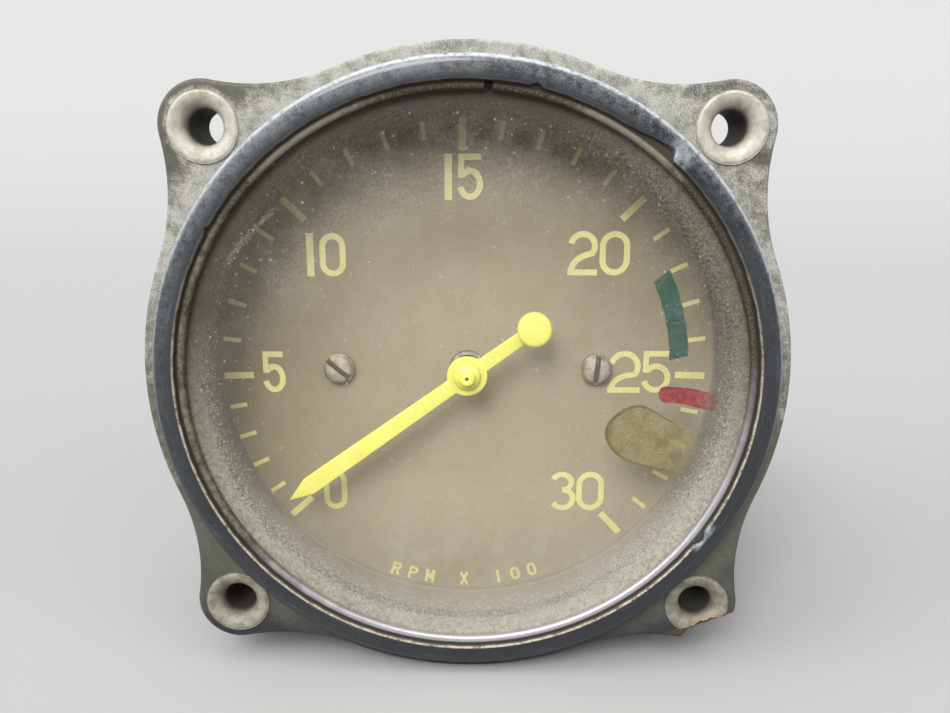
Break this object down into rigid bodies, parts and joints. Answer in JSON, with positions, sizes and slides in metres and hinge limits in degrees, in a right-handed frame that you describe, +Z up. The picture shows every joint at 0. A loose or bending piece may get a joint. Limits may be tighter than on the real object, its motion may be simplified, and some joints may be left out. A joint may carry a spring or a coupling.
{
  "type": "aircraft tachometer",
  "caption": "Panel-mounted aircraft tachometer with an eared round case, glazed dial, swinging pointer, magnetic drag movement and a rear nipple for the drive cable.",
  "frame": {"origin": "centre of the four-hole bolt pattern on the rear (panel) face of the flange", "axes": "+Y along the instrument's axis from the face to the drive nipple, +Z up, +X to the reader's right"},
  "size_m": [0.0826, 0.0787, 0.0826],
  "materials": {
    "phenolic": "moulded phenolic, blue-black, satin, dusty and scuffed at its edges",
    "eyelet_metal": "dull tarnished plated metal",
    "ring_steel": "spring steel, bright in places and brown with old tarnish",
    "glass": "clear flat glass, dusty",
    "gasket": "matt",
    "dial_paint": "matt brown paint with pale yellow printing",
    "screw_nickel": "dull nickel, tarnished",
    "brass": "satin",
    "steel": "satin",
    "housing_alloy": "die-cast light alloy, satin, handled",
    "jewel": "polished",
    "spring_steel": "blued",
    "magnet_alloy": "ground, dull",
    "pointer_yellow": "bright yellow paint",
    "cup_aluminium": "satin"
  },
  "bodies": {
    "case": {"case_shell": "phenolic", "mounting_eyelets": "eyelet_metal", "snap_ring": "ring_steel", "cover_glass": "glass", "glass_gasket": "gasket", "dial_plate": "dial_paint", "dial_screws": "screw_nickel", "dial_posts": "brass", "front_plate": "brass", "plate_screws": "steel", "pillars": "brass", "base_plate": "brass", "drive_housing": "housing_alloy", "housing_gasket": "gasket", "housing_screws": "steel", "front_bush": "brass", "rear_bush": "brass", "front_jewel": "jewel", "hairspring": "spring_steel", "hairspring_stud": "steel", "stop_pins": "steel"},
    "drive_rotor": {"drive_shaft": "steel", "retaining_ring": "steel", "thrust_collar": "steel", "collar_pin": "steel", "magnet_hub": "brass", "hub_pin": "steel", "magnet": "magnet_alloy", "magnet_yoke": "steel", "rear_jewel": "jewel"},
    "pointer_assembly": {"pointer": "pointer_yellow", "pointer_boss": "pointer_yellow", "balance_weight": "pointer_yellow", "pointer_staff": "steel", "spring_collet": "brass", "stop_arm": "brass", "cup_hub": "brass", "drag_cup": "cup_aluminium"}
  },
  "joints": [
    {"name": "drive_spin", "type": "hinge", "parent": "case", "child": "drive_rotor", "pos_m": [0, 0.045, 0], "axis": [0, 1, 0], "continuous": true},
    {"name": "pointer_swing", "type": "hinge", "parent": "case", "child": "pointer_assembly", "pos_m": [0, 0, 0], "axis": [0, 1, 0], "range_deg": [0, 266], "stiffness_Nm_per_rad": 0.0001, "deforming": ["hairspring"]}
  ]
}
